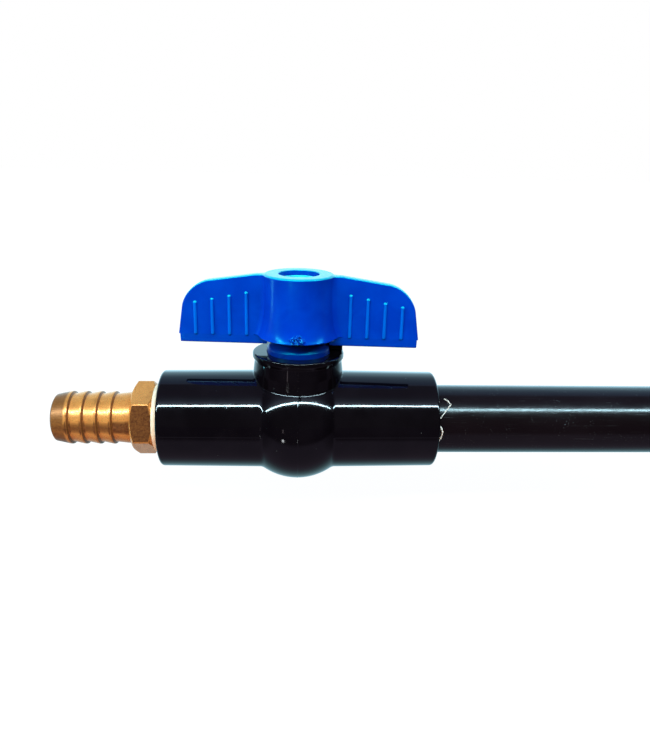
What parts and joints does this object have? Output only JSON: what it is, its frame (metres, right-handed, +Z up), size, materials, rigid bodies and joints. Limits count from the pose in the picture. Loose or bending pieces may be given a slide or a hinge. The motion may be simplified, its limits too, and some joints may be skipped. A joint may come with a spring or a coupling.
{
  "type": "ball valve",
  "caption": "Compact plastic ball valve with a butterfly handle, joined to a barbed brass hose tail at one end and a length of plain pipe at the other.",
  "frame": {"origin": "centre of the ball, where the pipe's line crosses the stem's line", "axes": "+X along the line, from the hose tail towards the cut end of the pipe; +Z up the stem towards the handle; +Y to the back of the valve"},
  "size_m": [0.1993, 0.0372, 0.0644],
  "materials": {
    "black_pvc": "gloss black injection-moulded PVC with a faint seam",
    "blue_abs": "satin-gloss bright blue moulded plastic",
    "brass": "turned brass with brown tarnish",
    "ptfe_white": "soft off-white fluoroplastic",
    "pipe_black": "satin black extruded pipe with fine scratches and dust",
    "cement": "thin glossy run of solvent cement",
    "ball_white": "polished hard plastic",
    "stem_grey": "moulded dark grey plastic",
    "seal_rubber": "black elastomer",
    "screw_steel": "stainless steel"
  },
  "bodies": {
    "valve_and_line": {"valve_body": "black_pvc", "seat_left": "ptfe_white", "seat_right": "ptfe_white", "seat_ring_left": "seal_rubber", "seat_ring_right": "seal_rubber", "seat_carrier": "black_pvc", "thrust_washer": "ptfe_white", "gland_collar": "blue_abs", "hose_tail": "brass", "ptfe_tape": "ptfe_white", "pipe": "pipe_black", "cement_bead": "cement"},
    "handle_and_stem": {"handle": "blue_abs", "handle_cap": "blue_abs", "handle_screw": "screw_steel", "screw_washer": "screw_steel", "stem": "stem_grey", "stem_ring_lower": "seal_rubber", "stem_ring_upper": "seal_rubber"},
    "ball": {"ball": "ball_white"}
  },
  "joints": [
    {"name": "handle_turn", "type": "hinge", "parent": "valve_and_line", "child": "handle_and_stem", "pos_m": [0, 0, 0], "axis": [0, 0, -1], "range_deg": [-4.27, 85.73]},
    {"name": "ball_turn", "type": "hinge", "parent": "valve_and_line", "child": "ball", "pos_m": [0, 0, 0], "axis": [0, 0, -1], "range_deg": [-4.27, 85.73]}
  ],
  "couplings": [
    {"joint": "ball_turn", "follows": "handle_turn", "ratio": 1}
  ]
}
